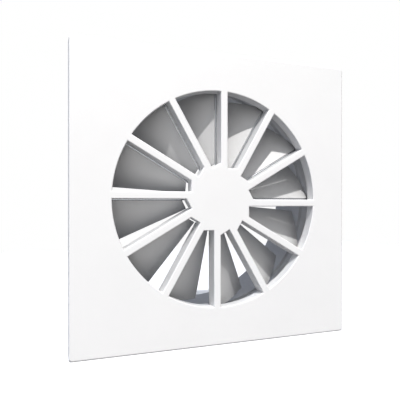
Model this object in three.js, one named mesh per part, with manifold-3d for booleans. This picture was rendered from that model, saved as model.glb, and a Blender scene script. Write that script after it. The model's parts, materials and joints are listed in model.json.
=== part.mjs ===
// Swirl air diffuser for a wall or ceiling: a square face plate with radial slots, one adjustable
// blade behind each slot, and a round duct collar. Millimetres, +Z up.
// The front faces -Y and the duct runs along +Y. The origin is on the duct axis, in the wall plane.
import * as THREE from 'three';
import { mergeVertices } from 'three/addons/utils/BufferGeometryUtils.js';
import Module from 'manifold-3d';

const wasm = await Module();
wasm.setup();

// ---- Driving dimensions -------------------------------------------------------------------------
const ductBore = 200;           // round duct that the collar slides into
const collarFit = 0.7;          // clearance between duct and collar, all round
const panelBorder = 25;         // face plate beyond the duct's bore, on each side
const panelDepth = 10;          // how far the plate's folded rim stands off the wall
const panelCorner = 2.8;        // outline corner radius
const edgeBend = 1.3;           // outside radius of the folded edge
const panelSheet = 0.8;         // steel sheet of the face plate
const slotCount = 12;           // slots, blades and spokes
const slotInset = 6.1;          // from the collar's inside to the circle that ends the slots
const hubApothem = 26.9;        // from the axis to each slot's flat inner end
const spokeWidth = 6.4;         // width of a spoke between two slots
const hingeLip = 11.5;          // return on a spoke's hinge side, from the front face
const lipToRod = 0.4;           // from that return's end to the pivot rod
const deepLipPast = 0.5;        // return on a spoke's clockwise side, past the rod's axis
const rimLipShort = 2.5;        // return round the slot circle ends this far before the axis
const hubLipShort = 3.8;        // return round the hub ends this far before it
const bladeSheet = 0.8;         // blade thickness
const bladeRest = 34.4;         // degrees that a blade leans back, as it is set
const bladeEndGap = 0.6;        // from a blade's outer end to the bush's flange
const bladeLap = 1.9;           // how far a flat blade reaches under the next spoke
const bladeHubGap = 0.7;        // from the slot's inner end to the blade's inner end, lying flat
const rodRadius = 0.6;          // pivot rod
const rodOffset = 0.35;         // rod axis, beside the spoke's hinge edge
const rodIntoCup = 1.7;         // rod end inside the hub cup's wall
const touchGap = 0.3;           // between pieces that touch
const cupToLip = 2.1;           // from the hub cup to the returns round the hub
const cupPast = 3;              // cup's rear edge, past the rod's axis
const cupSheet = 0.8;
const collarSheet = 0.8;
const collarDepth = 80;         // the collar's rear edge, behind the front face
const beadHeight = 1.6;         // rolled stop bead round the collar
const beadToSpring = 2;         // from the bead's middle to the springs
const beadHalf = 2.2;
const ringSheet = 1;            // carrier ring inside the collar
const ringPast = 8.5;           // its rear edge, past the rod's axis
const bushFlangeWidth = 0.7;    // pivot bush's flange, beyond the bush
const bushFlangeThick = 0.8;
const bushWall = 0.8;           // bush wall round the rod
const sealWidth = 9;            // rubber duct seal
const sealFromRear = 18;        // its middle, before the collar's rear edge
const sealBody = 1;
const sealLip = 3.4;            // height of the seal's two lips
const gasketWidth = 8;          // foam strip behind the plate
const gasketProud = 1;          // how far it stands behind the rim
const studRadius = 2;           // weld studs behind the plate
const nutFlats = 7;
const nutThick = 3.2;
const nutToWall = 0.21;         // from a nut's corner to the collar and to its flange's edge
const studProud = 2;            // stud end beyond its nut
const springWidth = 12;         // retaining leaf springs
const springSheet = 0.5;
const springRise = 6;           // how far a spring bows out from the collar
const springLength = 20;
const springFlat = 6.4;         // flat stretch at its rear
const springCrest = 2;          // flat top of its bow
const springTip = 3.6;          // from the top to its front end
const springDrop = 2.7;         // how far that end falls back towards the collar
const springToSeal = 5.5;
const rivetFromRear = 3;        // rivet's axis, before a spring's rear end
const rivetRadius = 1.6;
const rivetHead = 2.6;
const rivetHeadThick = 0.9;
const springAngles = [80, 200, 320];
const studAngles = [45, 135, 225, 315];

// ---- Worked-out values --------------------------------------------------------------------------
const degrees = Math.PI / 180;
const slotStep = 2 * Math.PI / slotCount;
const frontY = -panelDepth;
const backOfSheet = frontY + panelSheet;
const seatY = backOfSheet + touchGap;             // first layer behind the face plate
const panelSide = ductBore + 2 * panelBorder;
const collarRadius = ductBore / 2 - collarFit;    // outside of the collar
const collarInner = collarRadius - collarSheet;
const nutCorner = nutFlats / 2 / Math.cos(Math.PI / 6);
const collarFlange = 2 * (nutCorner + nutToWall);
const slotRadius = collarInner - slotInset;
const rodDepth = hingeLip + lipToRod + rodRadius; // rod axis, behind the front face
const deepLip = rodDepth + deepLipPast;
const rimLip = rodDepth - rimLipShort;
const hubLip = rodDepth - hubLipShort;
const ringOuter = collarInner - touchGap;
const ringInner = ringOuter - ringSheet;
const ringDepth = rodDepth + ringPast;
const boreRadius = rodRadius + touchGap;
const bushRadius = boreRadius + bushWall;
const bushHole = bushRadius + touchGap;
const bushFlange = bushRadius + bushFlangeWidth;
const bladeRadius = ringInner - touchGap - bushFlangeThick - bladeEndGap;
const hubCupRadius = hubApothem - panelSheet - cupToLip;
const hubCupDepth = rodDepth + cupPast;
const rodInnerEnd = hubCupRadius - cupSheet - rodIntoCup;
const rodOuterEnd = ringOuter - touchGap;
const rodY = frontY + rodDepth;
const sealCentre = collarDepth - sealFromRear;    // these three are behind the front face
const springFoot = sealCentre - sealWidth / 2 - springToSeal;
const beadCentre = springFoot - springLength - beadToSpring;
const rivetY = frontY + springFoot - rivetFromRear;
const circleSteps = 72;
const slotArcSteps = 6;

// ---- Materials ----------------------------------------------------------------------------------
function finish(color, roughness, metalness = 0) {
  return () => new THREE.MeshStandardMaterial({ color, roughness, metalness });
}
const faceCoat = finish('#f3f3f3', 0.45);
const innerCoat = finish('#dddddd', 0.45);
const zincSteel = finish('#d6d9db', 0.35, 1);
const springSteel = finish('#c9cbce', 0.3, 1);
const nylon = finish('#e9e8e3', 0.5);
const rubber = finish('#3a3b3d', 0.85);
const foam = finish('#7c7f83', 0.95);

// ---- Solids -------------------------------------------------------------------------------------
function toSolid(geometry) {
  const bare = geometry.clone();
  bare.deleteAttribute('normal');
  bare.deleteAttribute('uv');
  const merged = mergeVertices(bare, 1e-4);
  return new wasm.Manifold(new wasm.Mesh({
    numProp: 3,
    vertProperties: new Float32Array(merged.attributes.position.array),
    triVerts: new Uint32Array(merged.index.array),
  }));
}

function toGeometry(solid) {
  const mesh = solid.getMesh();
  const geometry = new THREE.BufferGeometry();
  geometry.setAttribute('position', new THREE.BufferAttribute(new Float32Array(mesh.vertProperties), 3));
  geometry.setIndex(new THREE.BufferAttribute(new Uint32Array(mesh.triVerts), 1));
  geometry.computeVertexNormals();
  return geometry;
}

// A flat outline, drawn in X (right) and Z (up), made solid from one Y to another.
function prism(shape, fromY, toY, curveSegments = 12) {
  const geometry = new THREE.ExtrudeGeometry(shape, {
    depth: toY - fromY, bevelEnabled: false, curveSegments,
  });
  geometry.rotateX(Math.PI / 2);
  geometry.translate(0, toY, 0);
  return geometry;
}

// A ring or disc about the duct axis, from a closed outline of [radius, y] points.
function turned(outline, steps = circleSteps) {
  const points = outline.map(([radius, y]) => new THREE.Vector2(radius, y));
  return new THREE.LatheGeometry([...points, points[0].clone()], steps);
}

function polygon(points) {
  return new THREE.Shape(points.map(([x, z]) => new THREE.Vector2(x, z)));
}

function roundedSquare(side, corner) {
  const half = side / 2;
  const shape = new THREE.Shape();
  shape.moveTo(-half + corner, -half);
  shape.lineTo(half - corner, -half);
  shape.absarc(half - corner, -half + corner, corner, -Math.PI / 2, 0);
  shape.lineTo(half, half - corner);
  shape.absarc(half - corner, half - corner, corner, 0, Math.PI / 2);
  shape.lineTo(-half + corner, half);
  shape.absarc(-half + corner, half - corner, corner, Math.PI / 2, Math.PI);
  shape.lineTo(-half, -half + corner);
  shape.absarc(-half + corner, -half + corner, corner, Math.PI, 1.5 * Math.PI);
  return shape;
}

// A square block with rounded front edges, open-ended towards the wall.
function tray(side, corner, bend, fromY, toY) {
  const straight = toY - fromY + bend;
  const geometry = new THREE.ExtrudeGeometry(roundedSquare(side - 2 * bend, corner - bend), {
    depth: straight - bend, bevelEnabled: true, bevelSegments: 3, bevelSize: bend,
    bevelThickness: bend, curveSegments: 4,
  });
  geometry.rotateX(Math.PI / 2);
  geometry.translate(0, fromY + straight, 0);
  const past = prism(roundedSquare(2 * side, corner), toY, toY + 4 * bend + panelDepth);
  return toSolid(geometry).subtract(toSolid(past));
}

function placed(geometry, x, y, z) {
  geometry.translate(x, y, z);
  return geometry;
}

// A round bar along local Z.
function bar(radius, fromZ, toZ, steps = 16) {
  const geometry = new THREE.CylinderGeometry(radius, radius, toZ - fromZ, steps);
  geometry.rotateX(Math.PI / 2);
  return placed(geometry, 0, 0, (fromZ + toZ) / 2);
}

// ---- Spoke frame --------------------------------------------------------------------------------
// Each spoke has its own frame, turned about the duct axis: local +Z runs out along the spoke's
// hinge edge, local -X points to the slot that its blade covers.
function turnedAbout(solid, angle) {
  return solid.rotate([0, angle / degrees, 0]);
}

// The slot beside the spoke at local +Z, on its hinge side, grown outwards by a margin.
// It is bounded by this spoke's hinge edge, the slot circle, the next spoke and the hub.
function slotOutline(margin = 0) {
  const radius = slotRadius + margin;
  const far = [-Math.sin(slotStep), Math.cos(slotStep)];        // along the next spoke
  const side = [Math.cos(slotStep), Math.sin(slotStep)];        // from it towards this spoke
  const reach = spokeWidth - margin;
  const inner = hubApothem - margin;
  const farAt = (along) => [far[0] * along + side[0] * reach, far[1] * along + side[1] * reach];
  const rootX = margin;
  const rootInner = (inner - far[0] * rootX) / far[1];
  const farOuter = farAt(Math.sqrt(radius * radius - reach * reach));
  const rootOuter = [rootX, Math.sqrt(radius * radius - rootX * rootX)];
  const shape = new THREE.Shape();
  shape.moveTo(rootX, rootInner);
  shape.lineTo(...rootOuter);
  shape.absarc(0, 0, radius, Math.atan2(rootOuter[1], rootOuter[0]),
    Math.atan2(farOuter[1], farOuter[0]), false);
  shape.lineTo(...farAt(inner));
  shape.closePath();
  return shape;
}

// One slot's four returns, each to its own depth.
function slotLips() {
  const sheet = panelSheet;
  const full = toSolid(prism(slotOutline(sheet), frontY, frontY + deepLip, slotArcSteps));
  const hole = toSolid(prism(slotOutline(), frontY - 1, frontY + deepLip + 1, slotArcSteps));
  const walls = full.subtract(hole);
  const far = 2 * panelSide;
  const hubCut = turnedAbout(toSolid(prism(polygon([
    [-far, -far], [far, -far], [far, hubApothem], [-far, hubApothem],
  ]), frontY + hubLip, frontY + deepLip + 1)), -slotStep);
  const hingeCut = toSolid(prism(polygon([
    [0, -far], [far, -far], [far, far], [0, far],
  ]), frontY + hingeLip, frontY + deepLip + 1));
  const rim = slotRadius - sheet / 2;
  const rimCut = toSolid(turned([
    [rim, frontY + rimLip], [far, frontY + rimLip],
    [far, frontY + deepLip + 1], [rim, frontY + deepLip + 1],
  ]));
  return walls.subtract(hubCut).subtract(hingeCut).subtract(rimCut);
}

function facePanel() {
  const sheet = panelSheet;
  const outer = tray(panelSide, panelCorner, edgeBend, frontY, 0);
  const inner = tray(panelSide - 2 * sheet, panelCorner - sheet, edgeBend - sheet, backOfSheet, 1);
  const lips = slotLips();
  const hole = toSolid(prism(slotOutline(), frontY - 1, backOfSheet + 1, slotArcSteps));
  let solid = outer.subtract(inner);
  for (let i = 0; i < slotCount; i += 1) {
    solid = solid.add(turnedAbout(lips, i * slotStep));
  }
  for (let i = 0; i < slotCount; i += 1) {
    solid = solid.subtract(turnedAbout(hole, i * slotStep));
  }
  return toGeometry(solid);
}

// ---- Blades and pivots --------------------------------------------------------------------------
// Drawn lying flat: X is the distance from the pivot axis, Y runs out along it.
function bladeOutline() {
  const root = rodRadius + touchGap;
  const inner = hubApothem + bladeHubGap;
  const lap = spokeWidth - bladeLap;
  const sin = Math.sin(slotStep);
  const cos = Math.cos(slotStep);
  const across = (out) => (out * sin - lap) / cos - rodOffset;    // free edge, beside the spoke
  const innerAt = (x) => (inner - (x + rodOffset) * sin) / cos;
  const innerFree = (() => {
    const out = inner * cos + lap * sin;
    return [across(out), out];
  })();
  const turn = Math.asin(lap / bladeRadius);
  const freeAngle = slotStep - turn;
  const shape = new THREE.Shape();
  shape.moveTo(root, innerAt(root));
  shape.lineTo(...innerFree);
  shape.lineTo(bladeRadius * Math.sin(freeAngle) - rodOffset, bladeRadius * Math.cos(freeAngle));
  shape.absarc(-rodOffset, 0, bladeRadius, Math.PI / 2 - freeAngle,
    Math.acos((root + rodOffset) / bladeRadius), false);
  shape.closePath();
  return shape;
}

function blade() {
  const geometry = new THREE.ExtrudeGeometry(bladeOutline(), {
    depth: bladeSheet, bevelEnabled: false, curveSegments: 14,
  });
  geometry.translate(0, 0, -bladeSheet / 2);
  geometry.applyMatrix4(new THREE.Matrix4().makeBasis(
    new THREE.Vector3(-1, 0, 0), new THREE.Vector3(0, 0, 1), new THREE.Vector3(0, 1, 0),
  ));
  return geometry;
}

function pivotBush() {
  const flangeFrom = ringInner - touchGap - bushFlangeThick;
  const flangeTo = ringInner - touchGap;
  const profile = [
    [boreRadius, flangeFrom], [bushFlange, flangeFrom], [bushFlange, flangeTo],
    [bushRadius, flangeTo], [bushRadius, rodOuterEnd], [boreRadius, rodOuterEnd],
  ];
  const geometry = turned(profile, 12);
  geometry.rotateX(Math.PI / 2);
  return geometry;
}

// ---- Rings and hub ------------------------------------------------------------------------------
// Holes for the rods, one along each spoke, through a wall about the duct axis.
function drillForRods(solid, radius, from, to) {
  const drill = toSolid(placed(bar(radius, from, to, 12), -rodOffset, rodY, 0));
  let drilled = solid;
  for (let i = 0; i < slotCount; i += 1) {
    drilled = drilled.subtract(turnedAbout(drill, i * slotStep));
  }
  return drilled;
}

function hubCup() {
  const inner = hubCupRadius - cupSheet;
  const cup = toSolid(turned([
    [studRadius + touchGap, seatY], [hubCupRadius, seatY], [hubCupRadius, frontY + hubCupDepth],
    [inner, frontY + hubCupDepth], [inner, seatY + cupSheet], [studRadius + touchGap, seatY + cupSheet],
  ], 36));
  return toGeometry(drillForRods(cup, boreRadius, inner - 2, hubCupRadius + 2));
}

function carrierRing() {
  const lip = slotRadius + panelSheet + touchGap;
  const ring = toSolid(turned([
    [lip, seatY], [ringOuter, seatY], [ringOuter, frontY + ringDepth],
    [ringInner, frontY + ringDepth], [ringInner, seatY + ringSheet], [lip, seatY + ringSheet],
  ]));
  return toGeometry(drillForRods(ring, bushHole, ringInner - 2, ringOuter + 2));
}

// The collar's wall line from front to back, at a distance outside its inner face.
function collarLine(out) {
  const line = [];
  const steps = 3;
  for (let i = 0; i <= 2 * steps; i += 1) {
    const turn = Math.PI * i / (2 * steps);
    const along = frontY + beadCentre - beadHalf * Math.cos(turn);
    line.push([collarInner + out + beadHeight * Math.sin(turn), along]);
  }
  return line;
}

function collar() {
  const flangeRadius = collarRadius + collarFlange;
  const rear = frontY + collarDepth;
  const outline = [
    [collarInner, seatY], [flangeRadius, seatY], [flangeRadius, seatY + collarSheet],
    [collarRadius, seatY + collarSheet], ...collarLine(collarSheet), [collarRadius, rear],
    [collarInner, rear], ...collarLine(0).reverse(),
  ];
  let solid = toSolid(turned(outline));
  for (const angle of studAngles) {
    const hole = cylinderAlongY(studRadius + touchGap, seatY - 1, seatY + collarSheet + 1, 12);
    solid = solid.subtract(toSolid(atStud(hole, angle)));
  }
  for (const angle of springAngles) {
    const hole = placed(bar(rivetRadius + touchGap, collarInner - 2, collarRadius + 2, 12), 0, rivetY, 0);
    solid = solid.subtract(turnedAbout(toSolid(hole), angle * degrees));
  }
  return toGeometry(solid);
}

function ductSeal() {
  const inner = collarRadius + touchGap;
  const body = inner + sealBody;
  const top = inner + sealLip;
  const from = frontY + sealCentre - sealWidth / 2;
  const at = (share) => from + sealWidth * share;
  return turned([
    [inner, at(0)], [body, at(0)], [body, at(0.1)], [top, at(0.3)], [top, at(0.38)],
    [body, at(0.3)], [body, at(0.55)], [top, at(0.75)], [top, at(0.83)], [body, at(0.75)],
    [body, at(1)], [inner, at(1)],
  ]);
}

function panelGasket() {
  const outer = panelSide - 2 * (panelSheet + edgeBend);
  const shape = roundedSquare(outer, 1);
  shape.holes.push(roundedSquare(outer - 2 * gasketWidth, 1));
  return prism(shape, seatY, gasketProud, 3);
}

// ---- Fasteners and springs ----------------------------------------------------------------------
function cylinderAlongY(radius, fromY, toY, steps = 20) {
  const geometry = new THREE.CylinderGeometry(radius, radius, toY - fromY, steps);
  return placed(geometry, 0, (fromY + toY) / 2, 0);
}

function atStud(geometry, angle) {
  const circle = collarRadius + collarFlange / 2;
  return placed(geometry, circle * Math.sin(angle * degrees), 0, circle * Math.cos(angle * degrees));
}

function stud(restsOn) {
  return cylinderAlongY(studRadius, seatY, restsOn + touchGap + nutThick + studProud);
}

function nut(restsOn) {
  const hexagon = [...Array(6).keys()].map((i) => [
    nutCorner * Math.cos(i * Math.PI / 3), nutCorner * Math.sin(i * Math.PI / 3),
  ]);
  const shape = polygon(hexagon);
  shape.holes.push(new THREE.Path().absarc(0, 0, studRadius + touchGap, 0, 2 * Math.PI));
  return prism(shape, restsOn + touchGap, restsOn + touchGap + nutThick);
}

// Drawn at local +Z, outside the collar: flat at the rear, bowed out towards the panel.
function retainingSpring() {
  const base = collarRadius + touchGap;
  const rear = frontY + springFoot;
  const front = rear - springLength;
  const line = [
    [rear, 0], [rear - springFlat, 0], [front + springTip + springCrest, springRise],
    [front + springTip, springRise], [front, springRise - springDrop],
  ];
  const outline = [
    ...line.map(([y, rise]) => [y, base + rise]),
    ...line.map(([y, rise]) => [y, base + rise + springSheet]).reverse(),
  ];
  const geometry = new THREE.ExtrudeGeometry(polygon(outline), {
    depth: springWidth, bevelEnabled: false,
  });
  geometry.translate(0, 0, -springWidth / 2);
  geometry.applyMatrix4(new THREE.Matrix4().makeBasis(
    new THREE.Vector3(0, 1, 0), new THREE.Vector3(0, 0, 1), new THREE.Vector3(1, 0, 0),
  ));
  const hole = placed(bar(rivetRadius + touchGap, base - 2, base + 3, 16), 0, rivetY, 0);
  return toGeometry(toSolid(geometry).subtract(toSolid(hole)));
}

function springRivet() {
  const inside = collarInner - touchGap;
  const outside = collarRadius + 2 * touchGap + springSheet;
  const geometry = turned([
    [0, inside - rivetHeadThick], [rivetHead, inside - rivetHeadThick], [rivetHead, inside],
    [rivetRadius, inside], [rivetRadius, outside], [rivetHead, outside],
    [rivetHead, outside + rivetHeadThick], [0, outside + rivetHeadThick],
  ], 12);
  geometry.rotateX(Math.PI / 2);
  return placed(geometry, 0, rivetY, 0);
}

// ---- Assembly -----------------------------------------------------------------------------------
const diffuser = new THREE.Group();

function add(parent, name, geometry, material) {
  const mesh = new THREE.Mesh(geometry, material());
  mesh.name = name;
  parent.add(mesh);
  return mesh;
}

function turnedGroup(angle) {
  const group = new THREE.Group();
  group.rotation.y = angle;
  diffuser.add(group);
  return group;
}

function addBlade(index) {
  const number = String(index + 1).padStart(2, '0');
  const spoke = turnedGroup((index + 1) * slotStep);
  const pivot = new THREE.Group();
  pivot.position.set(-rodOffset, rodY, 0);
  pivot.rotation.z = -bladeRest * degrees;
  spoke.add(pivot);
  add(pivot, `blade_${number}`, blade(), innerCoat);
  add(pivot, `pivot_rod_${number}`, bar(rodRadius, rodInnerEnd, rodOuterEnd, 12), zincSteel);
  const bush = add(spoke, `pivot_bush_${number}`, pivotBush(), nylon);
  bush.position.set(-rodOffset, rodY, 0);
}

add(diffuser, 'face_panel', facePanel(), faceCoat);
for (let i = 0; i < slotCount; i += 1) {
  addBlade(i);
}
add(diffuser, 'hub_cup', hubCup(), zincSteel);
add(diffuser, 'hub_stud', stud(seatY + cupSheet), zincSteel);
add(diffuser, 'hub_nut', nut(seatY + cupSheet), zincSteel);
add(diffuser, 'carrier_ring', carrierRing(), innerCoat);
add(diffuser, 'collar', collar(), innerCoat);
add(diffuser, 'duct_seal', ductSeal(), rubber);
add(diffuser, 'panel_gasket', panelGasket(), foam);
studAngles.forEach((angle, i) => {
  add(diffuser, `flange_stud_${i + 1}`, atStud(stud(seatY + collarSheet), angle), zincSteel);
  add(diffuser, `flange_nut_${i + 1}`, atStud(nut(seatY + collarSheet), angle), zincSteel);
});
springAngles.forEach((angle, i) => {
  const place = turnedGroup(angle * degrees);
  add(place, `retaining_spring_${i + 1}`, retainingSpring(), springSteel);
  add(place, `spring_rivet_${i + 1}`, springRivet(), zincSteel);
});

export default diffuser;
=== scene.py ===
"""Looks of a swirl air diffuser: a folded face plate, twelve blades on rods and a duct collar.

Metres, +Z up. The front looks along -Y, and the duct axis is the Y axis.
"""

import json
import math

import bmesh
import bpy
from mathutils import Matrix, Vector


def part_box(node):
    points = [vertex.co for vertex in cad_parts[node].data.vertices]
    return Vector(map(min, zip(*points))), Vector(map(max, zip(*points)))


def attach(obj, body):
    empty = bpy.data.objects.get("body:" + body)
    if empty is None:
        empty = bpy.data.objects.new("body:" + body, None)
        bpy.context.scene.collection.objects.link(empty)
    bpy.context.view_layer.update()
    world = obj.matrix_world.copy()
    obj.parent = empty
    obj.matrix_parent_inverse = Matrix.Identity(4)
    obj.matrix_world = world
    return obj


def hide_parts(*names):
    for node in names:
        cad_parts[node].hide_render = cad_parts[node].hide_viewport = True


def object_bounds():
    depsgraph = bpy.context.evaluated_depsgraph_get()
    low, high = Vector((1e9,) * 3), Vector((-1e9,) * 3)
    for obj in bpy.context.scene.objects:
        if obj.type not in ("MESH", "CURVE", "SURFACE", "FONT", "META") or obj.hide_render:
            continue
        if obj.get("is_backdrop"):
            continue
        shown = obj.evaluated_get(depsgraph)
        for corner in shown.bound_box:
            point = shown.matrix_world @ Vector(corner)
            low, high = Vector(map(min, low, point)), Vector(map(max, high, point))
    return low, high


bl_info = {
    "name": "Swirl air diffuser",
    "version": (1, 0, 0),
    "blender": (4, 5, 0),
    "location": "3D View > Sidebar > Diffuser",
    "description": "Builds the visible pieces of a swirl air diffuser round its packed frame",
    "category": "Object",
}

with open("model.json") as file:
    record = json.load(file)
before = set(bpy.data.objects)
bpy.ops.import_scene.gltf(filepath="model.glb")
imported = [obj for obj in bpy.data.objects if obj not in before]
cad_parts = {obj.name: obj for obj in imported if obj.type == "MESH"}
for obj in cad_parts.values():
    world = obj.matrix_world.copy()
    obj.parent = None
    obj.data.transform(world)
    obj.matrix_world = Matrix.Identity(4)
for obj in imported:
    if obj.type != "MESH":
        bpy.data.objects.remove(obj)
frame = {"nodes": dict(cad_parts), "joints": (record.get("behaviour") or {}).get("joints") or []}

MM = 0.001
BASE = "frame"  # the body that doesn't tilt
DUCT_AXIS = Vector((0, 1, 0))
ALONG_DUCT = Matrix.Rotation(math.radians(-90), 4, "X")  # local +Z becomes the duct's +Y

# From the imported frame
CAD_LOW, CAD_HIGH = (Vector(corner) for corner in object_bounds())
PLATE_LOW, PLATE_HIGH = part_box("face_panel")
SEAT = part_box("carrier_ring")[0].y  # where the rings and the cup lie on the plate's back
TILTS = {joint["child"]: joint for joint in frame["joints"]}
BLADES = sorted(TILTS)
STEP = 2 * math.pi / len(BLADES)
STUDS = sorted(node for node in frame["nodes"] if node.startswith("flange_stud"))
SPRINGS = sorted(node for node in frame["nodes"] if node.startswith("retaining_spring"))
RIVETS = sorted(node for node in frame["nodes"] if node.startswith("spring_rivet"))

# How the pieces are shaped
MERGE = 0.0001 * MM  # corners nearer than this are one
STRAIGHT = math.radians(89)  # half a corner's angle from which it counts as straight
CORNER_SHARE = 0.49  # how much of a side one rounded corner may take
CREASE = math.radians(32)  # edges sharper than this stay crisp
FACING = 0.99  # cosine within which a face looks straight ahead
CUT_EDGE = 0.15 * MM  # roundness of a sheet's cut edge
WALL_DRILL = 3 * MM  # how far a drill reaches on each side of a thin wall
SPRING_DRILL = 2 * MM  # how far a drill reaches on each side of a leaf spring
FLANGE_DRILL = 30 * MM  # how far the studs' drills reach each way from a stud's middle
SEAL_LIPS = (0.1, 0.55)  # where the seal's lips start, as shares of its width
LIP_ROOT, LIP_TIP = 0.2, 0.28  # where a lip's root and its tip end, past its start
SPRING_FOOT, SPRING_CREST = 0.32, 0.77  # where a spring leaves the collar and crests, along it
SPRING_TIP = 0.55  # height of a spring's tip, as a share of its crest's
END_SLOPE = 0.8  # how fast a stud's last thread tapers
NUT_CHAMFER = math.radians(30)  # slope of a nut's turned corners
NUT_FACE = 0.97  # a nut's round bearing face, as a share of its flats
BORE_SINK = 0.15  # countersink at a nut's bore, as a share of the bore

# How the nodes are set
MIX_FIRST, MIX_SECOND, MIX_RESULT = 6, 7, 2  # the colour sockets of a Mix node
ROOM_FADE = 2.0  # how quickly a side's light fades with the direction's cosine


# ---- Sizes and colours that a user may change ----
def size(name, description, millimetres):
    """A length, given in millimetres and kept in metres."""
    return bpy.props.FloatProperty(
        name=name, description=description, default=millimetres * MM,
        precision=5, unit="LENGTH", subtype="DISTANCE",
    )


def linear(code):
    """An sRGB hex colour as linear red, green, blue and alpha."""
    parts = [int(code[i:i + 2], 16) / 255 for i in (1, 3, 5)]
    return tuple(
        part / 12.92 if part <= 0.04045 else ((part + 0.055) / 1.055) ** 2.4 for part in parts
    ) + (1.0,)


def colour(name, description, code):
    """A colour, given as sRGB hex."""
    return bpy.props.FloatVectorProperty(
        name=name, description=description, default=linear(code), size=4,
        min=0, max=1, subtype="COLOR",
    )


def angle(name, description, degrees):
    """An angle, given in degrees and kept in radians."""
    return bpy.props.FloatProperty(
        name=name, description=description, default=math.radians(degrees),
        unit="ROTATION", subtype="ANGLE",
    )


def number(name, description, value, least=0):
    """A plain number. A white card lit by a strength of 1 from every side looks just white."""
    return bpy.props.FloatProperty(name=name, description=description, default=value, min=least)


class PlateSizes(bpy.types.PropertyGroup):
    """The folded face plate."""

    sheet: size("Sheet", "Steel sheet of the face plate", 0.8)
    corner: size("Corner", "Radius of the plate's outline at its corners", 2.8)
    edge_bend: size("Edge bend", "Outside radius of the fold to the rim", 1.3)
    slot_bend: size("Slot bend", "Outside radius of the fold at each slot", 0.9)
    slot_radius: size("Slot radius", "Circle that ends the slots outside", 92.4)
    hub_apothem: size("Hub apothem", "From the axis to each slot's flat inner end", 26.9)
    spoke_width: size("Spoke width", "Width of a spoke between two slots", 6.4)
    deep_lip: size("Deep lip", "Return on a spoke's clockwise side", 13)
    hinge_lip: size("Hinge lip", "Return on a spoke's hinge side", 11.5)
    rim_lip: size("Rim lip", "Return round the slot circle", 10)
    hub_lip: size("Hub lip", "Return round the hub", 8.7)


class BladeSizes(bpy.types.PropertyGroup):
    """A blade, its rod and its bush."""

    sheet: size("Sheet", "Steel sheet of a blade", 0.8)
    radius: size("Outer end", "Outer end of a blade, about the duct axis when it lies flat", 95.5)
    lap: size("Lap", "How far a flat blade reaches under the next spoke", 1.9)
    hub_gap: size("Hub gap", "From the slot's inner end to the blade's inner end", 0.7)
    rod_gap: size("Rod gap", "From the rod to the blade's root edge", 0.25)
    corner: size("Corner", "Radius at a blade's corners", 0.5)
    edge: size("Edge", "Coated roundness of the sheet's edges", 0.18)
    bush_wall: size("Bush wall", "Wall of the bush round the rod", 0.8)
    bush_flange: size("Bush flange", "Thickness of the bush's flange", 0.8)
    bush_edge: size("Bush edge", "Moulded roundness of the bush's edges", 0.2)


class DuctSizes(bpy.types.PropertyGroup):
    """The collar, the rings, the seal and the gasket."""

    sheet: size("Collar sheet", "Steel sheet of the collar", 0.8)
    radius: size("Collar radius", "Outside radius of the collar", 99.3)
    bead_height: size("Bead height", "Rolled stop bead round the collar", 1.6)
    bead_place: size("Bead place", "From the front face to the bead's middle", 30)
    bead_half: size("Bead half width", "Half of the bead's width, with its soft feet", 2.86)
    collar_bend: size("Collar bend", "Outside radius of the fold to the collar's flange", 1.28)
    ring_sheet: size("Ring sheet", "Steel sheet of the carrier ring", 1)
    ring_bend: size("Ring bend", "Outside radius of the carrier ring's fold", 1.4)
    cup_sheet: size("Cup sheet", "Steel sheet of the hub cup", 0.8)
    cup_bend: size("Cup bend", "Outside radius at the hub cup's bottom", 1.6)
    seal_body: size("Seal body", "Thickness of the seal between its lips", 1)
    seal_edge: size("Seal edge", "Roundness of the seal's edges", 0.28)
    foam_width: size("Foam width", "Width of the foam strip", 8)
    foam_edge: size("Foam edge", "Roundness of the foam strip's edges", 0.35)
    foam_corner: size("Foam corner", "Radius of the foam strip's outline at its corners", 1.5)
    gap: size("Gap", "Clearance between pieces that pass through each other", 0.3)


class FixingSizes(bpy.types.PropertyGroup):
    """Studs, nuts, springs and rivets."""

    pitch: size("Thread pitch", "Pitch of the M4 weld studs", 0.7)
    thread: size("Thread depth", "Depth of the stud's thread", 0.38)
    strip: size("Spring strip", "Thickness of a retaining spring", 0.5)
    strip_width: size("Spring width", "Width of a retaining spring", 12)
    strip_bend: size("Spring bend", "Radius where a retaining spring leaves the collar", 4.4)
    crest_bend: size("Spring crest", "Radius at a retaining spring's crest", 3.3)
    strip_step: size("Spring step", "Distance between a spring's cross sections", 0.5)
    strip_tip: size("Spring tip", "Radius at the corners of a spring's ends", 3)
    rivet: size("Rivet", "Radius of a rivet's shank", 1.6)
    rivet_head: size("Rivet head", "Radius of a rivet's heads", 2.6)
    rivet_rise: size("Rivet rise", "Height of a rivet's heads", 0.85)
    rivet_edge: size("Rivet edge", "Roundness of a rivet's flat head", 0.25)


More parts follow.
